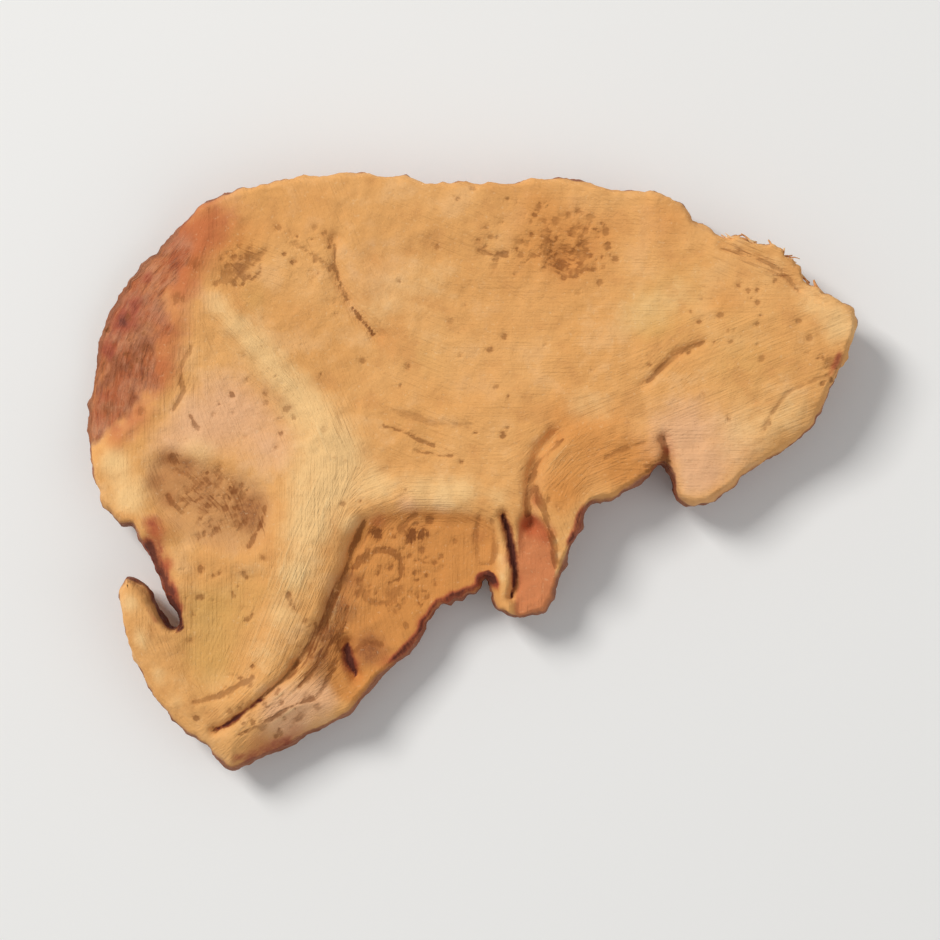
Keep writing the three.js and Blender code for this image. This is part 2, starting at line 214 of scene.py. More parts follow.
LINES = {  # height, half width and the points of each ridge or groove
    "pale bundle": (0.55, 2.3, [
        (-11.4, 2.0), (-12.3, -2.0), (-12.9, -6.0), (-14.1, -10.5), (-15.9, -14.8),
        (-18.0, -18.2)]),
    "upper bundle": (0.24, 1.1, [
        (-20.8, 12.8), (-18.0, 10.0), (-15.5, 7.5), (-13.0, 5.0), (-11.2, 2.6)]),
    "brow over the right bud": (0.2, 1.4, [
        (-9.7, -4.6), (-8.0, -3.1), (-5.0, -2.6), (-1.5, -2.6), (1.6, -2.9), (3.8, -3.5)]),
    "left arm": (0.4, 1.3, [(-27.4, -10.2), (-26.6, -13.5), (-25.1, -16.5), (-23.0, -19.4)]),
    "crack by the flap": (-1.2, 0.36, [
        (2.7, -4.05), (3.05, -5.1), (3.4, -6.6), (3.6, -8.0), (3.7, -9.4), (3.35, -10.7)]),
    "pit at the lower edge": (-1.1, 0.5, [(-10.0, -14.5), (-9.85, -15.8), (-9.3, -17.2)]),
    "fold beside the small lobe": (-0.85, 0.6, [
        (5.0, -4.8), (4.9, -3.0), (5.0, -1.0), (5.7, 0.9), (6.9, 2.3)]),
    "split of the small lobe": (-0.9, 0.5, [(15.9, -0.2), (16.1, 1.0), (15.8, 2.1)]),
    "bark line": (-0.5, 0.36, [
        (-20.7, -21.5), (-19.5, -20.9), (-17.6, -19.5), (-16.3, -18.4), (-14.9, -17.2),
        (-14.0, -16.1)]),
    "fibres beside the right bud": (-0.5, 0.6, [
        (-8.6, -4.5), (-9.5, -6.7), (-10.1, -8.6), (-11.1, -10.5), (-11.8, -12.6),
        (-12.8, -14.3), (-14.0, -16.1)]),
    "upper arc": (-0.38, 0.45, [
        (-10.9, 18.2), (-10.8, 16.0), (-10.4, 14.5), (-9.5, 12.7), (-8.4, 11.4), (-7.3, 10.5)]),
    "crease of the right lobe": (-0.3, 0.4, [
        (14.0, 6.4), (15.7, 8.0), (16.9, 8.95), (18.9, 9.9)]),
    "pit of the upper bud": (-0.6, 1.0, [(7.2, 17.0), (7.7, 16.3)]),
    "torn lip": (-0.3, 0.35, [
        (20.3, 17.7), (22.6, 16.9), (24.8, 15.9), (26.6, 14.2), (28.6, 13.0)]),
}
DISH = [  # rise, x, y and reach of each place where the slice curls up
    (1.5, 31, 11, 20), (1.2, -28, -14, 14), (0.9, -20, 24, 16), (0.5, 6, -13, 11),
]
RESTS = [(-18, -10, 6.5), (17, 2.5, 6.5), (-4, 16.5, 6.5)]  # x, y and reach of each low spot
TABLE = 97  # squares along the side of a table of random numbers


def smooth(t):
    """From 0 to 1 with an easy start and end."""
    t = np.clip(t, 0, 1)
    return t * t * (3 - 2 * t)


def hump(away, half):
    """A soft bump: 1 in its middle, and about a third at half its width."""
    return np.exp(-((away / half) ** 2))


def waves(x, y):
    """The slow rise and fall of a slice that dried unevenly."""
    return (
        0.22 * np.sin(0.21 * x + 0.13 * y + 0.6)
        + 0.16 * np.sin(0.12 * x - 0.31 * y + 2.1)
        + 0.1 * np.sin(0.47 * x + 0.38 * y - 1.0)
    )


def dish(x, y):
    """How far the whole slice curls up from the floor."""
    return sum(rise * hump(np.hypot(x - a, y - b), reach) for rise, a, b, reach in DISH)


def underside(x, y):
    """Height of the underside: dished, and worn flat on the floor at its low spots."""
    z = LIFT + dish(x, y) + 0.5 * waves(y + 9, x - 4)
    for a, b, reach in RESTS:
        z = z * np.maximum(0, 1 - 1.3 * hump(np.hypot(x - a, y - b), reach))
    return np.maximum(0, z)


def in_field(name, x, y, wall=None):
    """How far inside a field each point is: 0 outside, 1 inside, over the width of its wall."""
    _, own_wall, ring = FIELDS[name]
    line = curve(ring, closed=True)
    depth = nearest(line, x, y)[0] * np.where(inside(line, x, y), 1, -1)
    return smooth(depth / (wall or own_wall) + 0.5)


def mottle(x, y, size, seed, layers=3):
    """Soft random patches about size millimetres across, from -1 to 1."""
    chance = np.random.default_rng(seed)
    total = 0
    for finer in range(layers):
        table = chance.random((TABLE, TABLE)) * 2 - 1
        u, v = x / size * 2**finer + 40, y / size * 2**finer + 40
        i, j = np.floor(u).astype(int), np.floor(v).astype(int)
        fu, fv = smooth(u - i), smooth(v - j)
        i, j, next_i, next_j = i % TABLE, j % TABLE, (i + 1) % TABLE, (j + 1) % TABLE
        lower = table[i, j] * (1 - fu) + table[next_i, j] * fu
        upper = table[i, next_j] * (1 - fu) + table[next_i, next_j] * fu
        total = total + (lower * (1 - fv) + upper * fv) / 2**finer
    return total / (2 - 2.0 ** (1 - layers))


# The run of the fibres where it can be seen, and between those places a blend.
GRAIN = [  # x, y and degrees
    (-19, 11.5, -48), (-15, 7, -51), (-11.8, 3, -62), (-12.2, -2, -100), (-13, -7, -104),
    (-14.6, -11.5, -113), (-17, -16.5, -121), (-16.5, -19.5, 33), (-20, -21.5, 36),
    (-11.5, -19.5, 30), (-27.3, -12, -80), (-25.3, -16.5, -60), (-23, -19.5, -48),
    (-28.5, 11.5, 62), (-29.5, 5, 84), (-25.2, 16.8, 47), (-29.5, -1, -80), (-22, -3, -35),
    (-18.5, -4.5, -70), (-21, -9.5, -88), (-20.5, -14, -100), (-10.8, -9.5, -108),
    (-7, -8, -100), (-6, -13.5, -60), (-2.5, -8, -84), (2, -8, -92), (3.6, -8, -88),
    (-7.5, -3, 28), (-3, -2.6, 2), (2, -3, -14), (6.2, -5, -62), (7.2, -8, -74), (6.5, 0, 52),
    (9.5, 2, 30), (13, 1, 8), (18.5, -1, -10), (16, 8.5, 38), (22, 8, 32), (27.5, 9, 18),
    (22, 16.5, -22), (12, 13, -8), (-4, 2, -28), (0, 6, -14), (2, 14, -12), (-9.6, 13.5, -58),
    (-12.5, 18.5, -70), (-16.5, 16, -20), (7, 16, -14), (8, 8, 6), (14, 19, -12),
    (-19, 5, -56), (-23.4, 7.5, -100), (-22, 15, 80), (-5, 20, -30),
]
PATCH = 0.2  # spacing of the raster that the streaks are worked out on
gx, gy = np.meshgrid(
    np.arange(low[0] - 1, high[0] + 1, PATCH), np.arange(low[1] - 1, high[1] + 1, PATCH)
)
twice = np.zeros(gx.shape, complex)
for a, b, degrees in GRAIN:
    twice += np.exp(2j * math.radians(degrees)) / (0.6 + np.hypot(gx - a, gy - b)) ** 3
run = np.exp(0.5j * np.angle(twice))


def combed(size, length, seed):
    """Streaks along the run of the fibres: random dots drawn out to the given length."""
    chance = np.random.default_rng(seed)
    shape = [math.ceil(n * PATCH / size) + 2 for n in gx.shape]
    dots = chance.random(shape)
    rows, columns = np.indices(gx.shape)
    total = np.zeros(gx.shape)
    for way in (1, -1):
        px, py = columns.astype(float), rows.astype(float)
        heading = way * run
        for _ in range(int(length / PATCH / 2)):
            i = np.clip(np.round(py).astype(int), 0, gx.shape[0] - 1)
            j = np.clip(np.round(px).astype(int), 0, gx.shape[1] - 1)
            turned = run[i, j]
            heading = turned * np.where((turned * heading.conj()).real < 0, -1, 1)
            px, py = px + heading.real, py + heading.imag
            u, v = np.clip(py, 0, None) * PATCH / size, np.clip(px, 0, None) * PATCH / size
            u, v = np.clip(u, 0, shape[0] - 1.01), np.clip(v, 0, shape[1] - 1.01)
            i, j = u.astype(int), v.astype(int)
            fu, fv = u - i, v - j
            total += (dots[i, j] * (1 - fu) + dots[i + 1, j] * fu) * (1 - fv)
            total += (dots[i, j + 1] * (1 - fu) + dots[i + 1, j + 1] * fu) * fv
    total -= total.mean()
    return np.clip(total / total.std() / 2, -1.2, 1.2)


def sampled(raster, x, y):
    """The raster's value at each x, y."""
    u = np.clip((y - gy[0, 0]) / PATCH, 0, gx.shape[0] - 1.01)
    v = np.clip((x - gx[0, 0]) / PATCH, 0, gx.shape[1] - 1.01)
    i, j = u.astype(int), v.astype(int)
    fu, fv = u - i, v - j
    lower = raster[i, j] * (1 - fv) + raster[i, j + 1] * fv
    return lower * (1 - fu) + (raster[i + 1, j] * (1 - fv) + raster[i + 1, j + 1] * fv) * fu


def patched(patches, x, y):
    """Soft round patches, each with a radius and a strength, laid over one another."""
    clear = 1
    for a, b, radius, strength in patches:
        clear = clear * (1 - strength * hump(np.hypot(x - a, y - b), radius))
    return 1 - clear


GRAINY = [  # x, y, radius and strength of the places where the fibres stand out
    (-18.6, 11, 2.2, 0.7), (-15, 7, 2.4, 0.8), (-12, 2.5, 2.5, 0.8), (-12.3, -3, 2.8, 0.9),
    (-14, -9, 2.6, 1), (-16.5, -15, 2.6, 1), (-10.8, -12, 1.5, 1), (-12.5, -16.5, 1.8, 0.9),
    (-16, -20, 2.5, 0.6), (-4, -2.2, 1.8, 0.5), (7, 0.5, 2, 0.6), (12, 1, 2.5, 0.5),
    (-22, 9, 3, 0.1), (-26, -14, 1.5, 0.5), (-28, 8, 4, 0.5), (24, 16, 2, 0.6),
]
count = len(flat.vertices)
co = np.empty(count * 3)
flat.vertices.foreach_get("co", co)
x, y, up = co.reshape(-1, 3).T
up = np.round(up * (RIM_ROWS + 1)) / (RIM_ROWS + 1)
away, along, out_x, out_y = nearest(rim, x, y)
band = np.interp(along, rim_run, rim[:, 2])
wide = smooth((band - NARROW_BAND) / 2)
on_top, on_bottom = up == TOP, up == BOTTOM
on_wall = ~(on_top | on_bottom)


CLOSING = 6  # length of rim over which its end takes on the look of its beginning


def round_rim(size, seed, layers=3, across=0.0, squeeze=1.0):
    """Mottling that follows the rim, and closes on itself where the rim begins again."""
    first = mottle(along * squeeze, across + 0 * along, size, seed, layers)
    again = mottle((along - rim_run[-1]) * squeeze, across + 0 * along, size, seed, layers)
    return first + smooth((along - rim_run[-1] + CLOSING) / CLOSING) * (again - first)


# The rim draws in where it meets the two cut faces, and is ragged, most where it is torn.
TORN = [  # x, y and reach
    (25.5, 17, 4.5), (21, 18.8, 3), (-27, 16, 3), (15.8, 0.5, 2), (-2, -11.5, 3),
    (1.4, -9.6, 1.5), (-27.8, -9.4, 1), (6.5, -11.5, 2), (29.5, 7.5, 2),
]
torn = 1 + 1.6 * sum(hump(np.hypot(x - a, y - b), reach) for a, b, reach in TORN)
frill = 0.13 * round_rim(1.6, 5) + 0.07 * round_rim(0.6, 6, 2, across=9)
draw = RIM_ROUND * np.where(on_bottom, 1, np.where(on_top, 1 - wide, 1 - wide * up))
# The faces follow the rim's ragged edge a little way in, less at the narrow tip of the left arm.
hold = 1.6 - 0.85 * hump(np.hypot(x + 27.5, y + 10.3), 2.4)
shift = (draw - torn * frill) * np.maximum(0, 1 - away / hold)
px, py = x - out_x * shift, y - out_y * shift

fine, coarse = combed(0.25, 4, 3), combed(0.9, 9, 4)
fibre = sampled(fine, px, py)
strand = sampled(coarse, px, py)

floor_z = underside(px, py)
face_z = LIFT + dish(px, py) + THICKNESS + waves(px, py)
for name, (height, _, _) in FIELDS.items():
    face_z += height * in_field(name, px, py)
away_from = {name: nearest(curve(path), px, py)[0] for name, (_, _, path) in LINES.items()}
for name, (height, half, _) in LINES.items():
    face_z += height * hump(away_from[name] + 0.12 * mottle(px, py, 0.9, 50), half)

skin_low = floor_z + RIM_LEVEL * THICKNESS
skin_z = skin_low + (face_z - skin_low) * np.clip(away / band, 0, 1) ** 0.75
on_skin = np.where(away < band, wide, 0)
top_z = face_z + on_skin * (skin_z - face_z)

# Fine relief: fibres on the faces, and on the skin wrinkles along the rim and ring scars
# across it.
wrinkle = 1 - 2 * np.abs(round_rim(0.8, 7, across=away + 4.5 * up, squeeze=0.45))
rings = 1 - 2.6 * np.abs(round_rim(2.6, 8, 2, across=0.25 * away + 0.6 * up))
skin_relief = (0.10 * wrinkle + 0.12 * np.clip(rings, -0.5, 1)) * np.where(on_wall, 2.2, 1)
crumple = 0.12 * (1 - 2.4 * np.abs(mottle(px, py, 3.4, 12)))
crumple = crumple + 0.07 * (1 - 2.4 * np.abs(mottle(px, py, 1.3, 13)))
combing = 0.16 + 0.84 * patched(GRAINY, px, py)
face_relief = (0.06 * fibre + 0.07 * strand) * combing + 0.05 * mottle(px, py, 1.2, 9) + crumple
skin_here = smooth((band * (1.1 + 0.45 * mottle(px, py, 2.2, 10)) - away) / 2.4) * wide
top_z += face_relief * (1 - skin_here) + skin_relief * skin_here
low_relief = 0.05 * fibre + 0.08 * strand + 0.06 * mottle(px + 30, py, 1.2, 11) + 0.8 * crumple
low_z = np.maximum(0, floor_z - low_relief * smooth(floor_z / 0.3))

z = np.where(on_top, top_z, np.where(on_bottom, low_z, low_z + (top_z - low_z) * up))
bulge = np.sin(np.pi * np.clip(up, 0, 1)) ** 0.7 * (RIM_ROUND + skin_relief - 0.1) * on_wall
px, py = px + out_x * bulge, py + out_y * bulge
placed = np.column_stack([px - middle[0], py - middle[1], z]) * MM
flat.vertices.foreach_set("co", placed.ravel())
for face in flat.polygons:
    face.use_smooth = True
flat.update()

piece = bpy.data.objects.new("galangal_slice_visual", flat)
bpy.context.scene.collection.objects.link(piece)
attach(piece, "root")
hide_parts("galangal_slice")


# THE TORN FIBRES OF THE SLICE
# Where the knife tore the slice instead of cutting it, loose ends of fibre lie along the rim.
# They are a millimetre long or so, and their roots are sunk in the flesh.
FRINGE = [  # x, y, reach along the rim, how many and how long at most
    (25.4, 17.0, 1.8, 12, 1.6), (22.0, 18.8, 2.0, 8, 1.4), (28.4, 14.5, 1.4, 4, 1.2),
    (29.6, 7.6, 1.4, 4, 0.9),
]
SUNK = 0.4  # how deep a fibre's root sits in the flesh
chance = np.random.default_rng(77)
bm = bmesh.new()
for a, b, reach, number, longest in FRINGE:
    for _ in range(number):
        seat = nearest(rim, np.array([a]), np.array([b]))[1][0] + chance.normal(0, reach * 0.5)
        seat = Vector([np.interp(seat % rim_run[-1], rim_run, rim[:, k]) for k in (0, 1)])
        out = Vector([n[0] for n in nearest(rim, *np.array([[seat.x], [seat.y]]))[2:]])
        length = longest * chance.uniform(0.4, 1)
        level = chance.uniform(0.88, 1.05)
        low_end = underside(seat.x, seat.y)
        level = low_end + level * (LIFT + dish(seat.x, seat.y) + 0.8 * THICKNESS - low_end)
        way = Vector((*out, chance.normal(0, 0.3)))
        way.rotate(Matrix.Rotation(chance.choice([-1, 1]) * chance.uniform(1.0, 1.5), 3, "Z"))
        turn = way.to_track_quat("Z", "Y").to_matrix().to_4x4()
        centre = Vector((*(seat - out * SUNK), level)) + way.normalized() * (0.5 * length + 0.1)
        thick = chance.uniform(0.09, 0.17)
        bmesh.ops.create_cone(
            bm, cap_ends=True, segments=5, radius1=thick, radius2=thick * 0.4, depth=length + 0.6,
            matrix=Matrix.Translation(centre) @ turn,
        )
long_sides = [e for e in bm.edges if e.calc_length() > 0.4]
bmesh.ops.subdivide_edges(bm, edges=long_sides, cuts=4, use_grid_fill=True)
for v in bm.verts:
    bend = (2.6 * v.co.y + v.co.z, 2.9 * v.co.x, 2.2 * (v.co.x + v.co.y))
    v.co += 0.14 * Vector([math.sin(angle) for angle in bend])
    v.co = Vector((v.co.x - middle[0], v.co.y - middle[1], max(v.co.z, 0.05))) * MM
loose = bpy.data.meshes.new("galangal_fringe_mesh")
bm.to_mesh(loose)
bm.free()
for face in loose.polygons:
    face.use_smooth = True
fringe = bpy.data.objects.new("galangal_fringe", loose)
bpy.context.scene.collection.objects.link(fringe)
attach(fringe, "root")


# THE COLOURS OF THE SLICE
# Marks on the cut face follow the photograph: pale bundles of fibre, two sunken buds, darker
# flecks where vessels and oil cells were cut, and the brown line where the bark begins.
ZONES = {  # x, y, radius and strength of each soft patch
    "pale": [
        (-21.2, 14.0, 1.2, 0.3), (-20.2, 12.7, 1.2, 0.5), (-19.0, 11.3, 1.3, 0.65),
        (-17.6, 10, 1.3, 0.75), (-16.3, 8.4, 1.5, 0.75), (-15.0, 6.9, 1.6, 0.75),
        (-13.6, 5.2, 1.8, 0.7), (-12.6, 4, 2, 0.7), (-11, 1.2, 2.6, 0.9), (-12, -1.5, 2.8, 0.9),
        (-13, -5, 2.2, 0.8), (-13.8, -8.6, 1.9, 0.7), (-15, -12, 1.7, 0.6),
        (-16.6, -15.4, 1.6, 0.5), (-7.5, -1.6, 1.8, 0.6), (-4, -1.9, 1.6, 0.6),
        (-0.5, -2.1, 1.5, 0.6), (2.4, -2.6, 1.2, 0.5), (-27.6, -2.6, 1.9, 0.8),
        (-28.8, 0.2, 1.6, 0.8), (-27.4, -11.2, 1.1, 0.6), (-26.6, -14, 1.1, 0.6),
        (-25.2, -17, 1.2, 0.5), (-23.6, -19.4, 1.3, 0.4), (29.8, 11.2, 1.8, 0.7),
        (28, 13.4, 1.8, 0.5), (2.4, -7.5, 0.5, 0.6), (2.4, -9.2, 0.5, 0.6), (24.5, 16, 1.6, 0.4),
        (-22, 0.9, 1.8, 0.5), (7.4, -7.4, 0.4, 0.8), (7.0, -6.2, 0.35, 0.7),
        (7.6, -8.9, 0.4, 0.7), (6.4, -5.0, 0.3, 0.6), (13.2, 12.0, 1.8, 0.4),
        (15.2, 12.9, 1.7, 0.4), (17.2, 13.8, 1.9, 0.4), (-8, 12.6, 2.4, 0.35),
        (-5.2, 14.6, 2.6, 0.3), (-2.4, 15.4, 2.4, 0.25), (8.6, 5.0, 1.6, 0.4),
        (10.6, 4.6, 1.8, 0.4), (22.5, 2.6, 3, 0.5), (26, 4.6, 2, 0.5), (-9.6, -4.8, 0.9, 0.5),
        (-2, -2.6, 1.4, 0.6),
    ],
    "peach": [
        (-14.6, -20.2, 2.6, 1), (-12, -18.8, 1.8, 0.7), (-19.5, 4.5, 3.4, 0.8),
        (-22.3, 3, 2.4, 0.7), (-16, 1.6, 2.8, 0.6), (-5, -3.2, 1.2, 0.6), (-2.2, -3.1, 1.1, 0.6),
        (17.4, 2.5, 3.4, 0.8), (18.6, -1, 2.2, 0.8), (22, 1.5, 2.6, 0.5), (-7, 15, 5, 0.3),
        (-24.8, 1.6, 1.6, 0.5),
    ],
    "ochre": [
        (-13.8, 11.5, 2.2, 0.3), (-13.4, 3.0, 1.1, 0.5), (-12.2, 1.8, 1.0, 0.4),
        (7, 17.4, 3.4, 0.6), (10, 17.8, 2.8, 0.5), (9.5, 1.4, 3, 0.6), (13, 0, 2.6, 1),
        (7.4, -2, 2.2, 0.8), (20.5, 13.3, 2, 0.5), (5, 21, 4, 0.4), (-19, 17.6, 2.6, 0.6),
        (3, 12, 4, 0.25), (1, 5.5, 4, 0.25), (15.4, 1, 1.4, 0.7), (-13, 21, 4, 0.3),
        (-14.6, -20.6, 2.4, 0.3), (-11.6, -18.6, 1.8, 0.4), (8, 4.4, 2.2, 0.5),
        (11.4, 4.2, 2, 0.4), (16, 20, 3, 0.5),
    ],
    "olive": [
        (14.5, 12.3, 2.6, 0.7), (22, 9, 4.5, 0.4), (18, 15, 3.5, 0.3), (-20.8, -12, 3, 0.8),
        (-21, -16, 2.6, 0.7), (-17.5, -10, 1.8, 0.4), (-3, 9, 3.5, 0.3), (-14, -9.5, 1.6, 0.4),
        (-17.5, 13.5, 1.6, 0.4), (-4.6, -12.6, 1.5, 0.6),
    ],
    "brown": [
        (-21.5, -2.6, 2.3, 0.5), (-18.4, -3.4, 1.9, 0.5), (-23.8, -0.8, 1.5, 0.5),
        (-24.6, 0.6, 0.9, 0.7), (-22.9, 0.0, 0.9, 0.6), (-25.4, -1.4, 0.9, 0.6),
        (-24.4, -2.8, 0.8, 0.75), (-21.2, -1.2, 1.2, 0.4), (-17.5, -3.4, 1.2, 0.6),
        (-17.7, -5.0, 1.0, 0.5), (-16.5, 6.3, 0.8, 0.4), (-15.4, 5.4, 0.8, 0.45),
        (-14.4, 4.6, 0.7, 0.35), (-20.4, -5.6, 2, 0.3), (-24.6, -5.5, 1.3, 0.5),
        (-8.2, -15, 1.6, 0.9), (-9.8, -12, 1.3, 0.5), (9.2, 17.2, 2.2, 0.35),
        (-18.5, 16.2, 1.5, 0.5), (15.9, 0.6, 0.8, 0.6), (14, -1.2, 0.8, 0.5),
        (-9.2, -9.6, 1, 0.5), (-16.3, -19.4, 1.6, 0.3), (-12.2, -16.8, 1.4, 0.5),
        (5.3, -2.2, 0.7, 0.5), (1.3, -9.8, 0.9, 0.6), (-11.6, -13.6, 1.1, 0.9),
        (-10.9, -11.4, 1.1, 0.9), (-12.2, -15.6, 1.1, 0.8), (-10.2, -9.2, 0.8, 0.7),
    ],
    "rust": [
        (-24.2, 17.4, 2.6, 0.9), (-23.3, 14.5, 2, 0.6), (-24.6, 11, 2.4, 0.7),
        (-25.5, 7.5, 2.2, 0.8), (-22, 18.5, 2.4, 0.7), (-27, 4, 1.8, 0.6), (-28.6, 2.2, 1.4, 0.6),
        (-20.6, 20.4, 3, 0.55), (-25.3, -5.5, 1, 0.9), (-24.5, -8, 0.8, 0.8),
        (-24.1, -10.4, 0.6, 0.7), (-7.5, -4.6, 1, 0.5), (-5.2, -5, 1.4, 0.25),
        (-1.8, -4.6, 1.2, 0.2), (5, -5.0, 1.1, 0.8), (5.4, -2.8, 0.7, 0.6), (6.3, -5.6, 0.9, 0.7),
        (0.8, -6, 1, 0.3), (-17, -22.9, 1.6, 0.5), (-14, -22, 1.4, 0.4), (-6.6, -16.2, 1.2, 0.5),
        (-3.6, -13, 0.9, 0.5), (-1.4, -11.2, 0.9, 0.6), (1.3, -10, 0.6, 0.7),
        (-8.4, -15, 1.2, 0.5), (3.4, -7.5, 0.9, 0.5),
    ],
}
STROKES = [  # half width, strength and the points of each brown line
    (0.26, 0.8, [(-20.7, -21.5), (-19.5, -20.9), (-17.6, -19.5), (-16.3, -18.4)]),
    (0.22, 0.6, [(-16.3, -18.4), (-14.9, -17.2), (-14.0, -16.1), (-12.8, -14.3), (-11.8, -12.6),
                 (-11.1, -10.5), (-10.1, -8.6), (-9.5, -6.7), (-8.6, -4.6)]),
    (0.2, 0.6, [(-13.8, -18), (-12.6, -16.5), (-11.3, -14.7), (-10.3, -13.2), (-9.9, -11.5)]),
    (0.2, 0.5, [(-12.2, -18.6), (-11.0, -16.4), (-10.6, -14.4)]),
    (0.18, 0.45, [(-12.6, -14.9), (-11.5, -12.6), (-10.6, -9.8)]),
    (0.14, 0.6, [(-18.6, -21.8), (-16.2, -20.6), (-14.2, -19.4), (-12.6, -18.9)]),
    (0.12, 0.75, [(-10.9, 17.7), (-10.8, 16.0), (-10.4, 14.5), (-9.5, 12.7), (-8.4, 11.4),
                  (-7.8, 10.6)]),
    (0.2, 0.4, [(-22.5, 9.6), (-23.4, 7.7), (-23.2, 6.0), (-24.0, 4.5)]),
    (0.2, 0.5, [(-22.6, 4.0), (-22.4, 3.4), (-22.0, 3.0)]),
    (0.16, 0.45, [(-7, 3.1), (-5.9, 2.9), (-5.0, 2.6), (-3.95, 1.95), (-2.9, 1.6)]),
    (0.16, 0.45, [(-4.3, 1.15), (-2.9, 0.9), (-1.4, 0.7)]),
    (0.3, 0.2, [(-6.6, 4.6), (-4.6, 3.9), (-2.4, 3.3), (0, 3.2)]),
    (0.18, 0.45, [(-24.4, -2.4), (-24.1, -3.1), (-23.4, -3.7)]),
    (0.2, 0.5, [(-16.6, -3.4), (-17.0, -5.0), (-17.8, -6.6)]),
    (0.2, 0.3, [(-20.6, -0.6), (-19.2, -1.4), (-18.0, -2.9)]),
    (0.18, 0.3, [(-24.0, -0.4), (-22.8, -0.9), (-21.8, -1.9)]),
    (0.24, 0.55, [(-14.6, -10.5), (-14.0, -11.7)]),
    (0.22, 0.35, [(-20.5, 14.7), (-19.2, 15.4), (-17.8, 16.4), (-16.5, 17.4)]),
    (0.16, 0.25, [(-14.2, 17.9), (-13.0, 17.2), (-11.5, 16.2)]),
    (0.22, 0.5, [(0.85, 17.35), (1.9, 17.15), (3.0, 17.1)]),
    (0.3, 0.5, [(-9.3, -8.2), (-8.4, -7.5), (-7.4, -6.9), (-6.3, -7.1), (-5.6, -7.8),
                (-5.5, -9.0)]),
    (0.28, 0.3, [(-9.0, -9.6), (-8.2, -11.0), (-6.6, -11.2), (-5.6, -10.0)]),
    (0.22, 0.4, [(-5.7, -5.3), (-5.0, -4.5), (-4.3, -4.0)]),
    (0.22, 0.35, [(0.7, -4.4), (0.45, -6.0), (0.7, -7.7), (1.3, -8.2), (1.95, -7.6), (2.05, -6.0),
                  (1.8, -4.5)]),
    (0.2, 0.55, [(4.7, -4.0), (4.75, -2.4), (5.0, -1.2), (5.6, 0.25), (6.5, 1.15), (7.5, 2.05)]),
    (0.3, 0.5, [(5.3, -1.8), (5.9, -3.4), (6.4, -5.2), (6.9, -6.7), (7.3, -8.2)]),
    (0.22, 0.5, [(14.5, 6.75), (15.7, 8.0), (16.9, 8.95), (18.9, 9.9)]),
    (0.2, 0.3, [(23.7, 2.9), (24.7, 4.6), (25.9, 6.0), (27.6, 6.8), (29.1, 7.0)]),
    (0.24, 0.6, [(15.85, 0.2), (15.9, 1.2), (15.5, 2.2)]),
    (0.24, 0.45, [(-22.2, -19.1), (-20.8, -18.8), (-19.2, -18.1), (-17.6, -17.2)]),
    (0.2, 0.3, [(11.0, 0.6), (12.6, 1.4), (14.2, 1.8)]),
    (0.18, 0.35, [(20.5, 17.6), (22.6, 16.9), (24.8, 15.9), (26.6, 14.2)]),
    (0.26, 0.4, [(-9.4, -15.2), (-8.4, -14.4), (-7.2, -14.6)]),
]
# The cracks, the pit, the notch and the bark line are painted darker towards their middles:
# painted shade in the openings, over their own red-brown.
SHADED_CLEFTS = [  # half width and the points of each deep dark opening
    (0.28, [(2.7, -4.05), (3.05, -5.1), (3.4, -6.6), (3.6, -8.0), (3.7, -9.4), (3.35, -10.7)]),
    (0.4, [(-10.0, -14.6), (-9.85, -15.8), (-9.3, -17.1)]),
    (0.2, [(1.5, -9.1), (1.45, -10.3)]),
    (0.34, [(-24.6, -10.6), (-24.0, -12.0), (-23.6, -13.1)]),
    (0.14, [(-20.7, -21.5), (-19.5, -20.9), (-17.6, -19.5), (-16.9, -19.0)]),
]
FLECKS = [  # x, y, radius and strength of each brown dot
    (-19.1, -2.0, 0.42, 0.9), (-21.2, -3.3, 0.32, 0.6), (-20.5, -5.2, 0.32, 0.6),
    (-23.8, -3.4, 0.3, 0.5), (-21.8, -8.4, 0.34, 0.6), (-21.9, -10.7, 0.3, 0.6),
    (-18.2, -8.8, 0.28, 0.5), (-16.6, -7.5, 0.26, 0.5), (-24, 0.5, 0.5, 0.6),
    (-7.6, -5.6, 0.55, 0.95), (-4.6, -5.8, 0.6, 1), (-3.8, -5.6, 0.5, 0.9),
    (-3.2, -4.5, 0.34, 0.6), (-3.9, -6.9, 0.34, 0.5), (-9.0, -9.4, 0.34, 0.6),
    (-9.1, -10.5, 0.3, 0.5), (-6.3, -10.5, 0.6, 0.4), (7.4, 16.3, 0.7, 0.7),
    (8.15, 18.9, 0.34, 0.5), (9.4, 17.2, 0.34, 0.5), (11.8, 16.7, 0.3, 0.5),
    (11.1, 18.9, 0.3, 0.45), (6.2, 18.2, 0.3, 0.45), (7.0, 19.8, 0.34, 0.4),
    (9.9, 20.2, 0.3, 0.35), (2.1, 16.6, 0.24, 0.4), (-2.6, 17.7, 0.24, 0.4),
    (2.1, 6.3, 0.24, 0.4), (-15.5, 19.2, 0.26, 0.4), (-16.5, 5.8, 0.22, 0.4),
    (-14.9, 4.5, 0.22, 0.4), (-22.1, -20.5, 0.3, 0.6), (29.1, 8.2, 0.5, 0.4),
    (-19.6, 15.3, 0.7, 0.45), (-17.7, 16.6, 0.6, 0.5), (-13.2, -12.6, 0.25, 0.4),
    (-22.6, -14.2, 0.25, 0.4), (14.9, -0.4, 0.6, 0.6), (-5.2, -13.2, 0.35, 0.4),
    (-3.4, -10.8, 0.3, 0.4), (-1.2, -6.2, 0.25, 0.35), (-10.8, 12.2, 0.2, 0.3),
    (-23.6, 13.5, 0.5, 0.4), (-22.5, 16.4, 0.6, 0.4), (-29.4, 4.6, 0.6, 0.4),
    (-26.6, 4.4, 0.4, 0.4), (-16.8, -21.2, 0.4, 0.4), (-13.6, -20.2, 0.3, 0.4),
    (-12.3, -19.6, 0.3, 0.35),
]
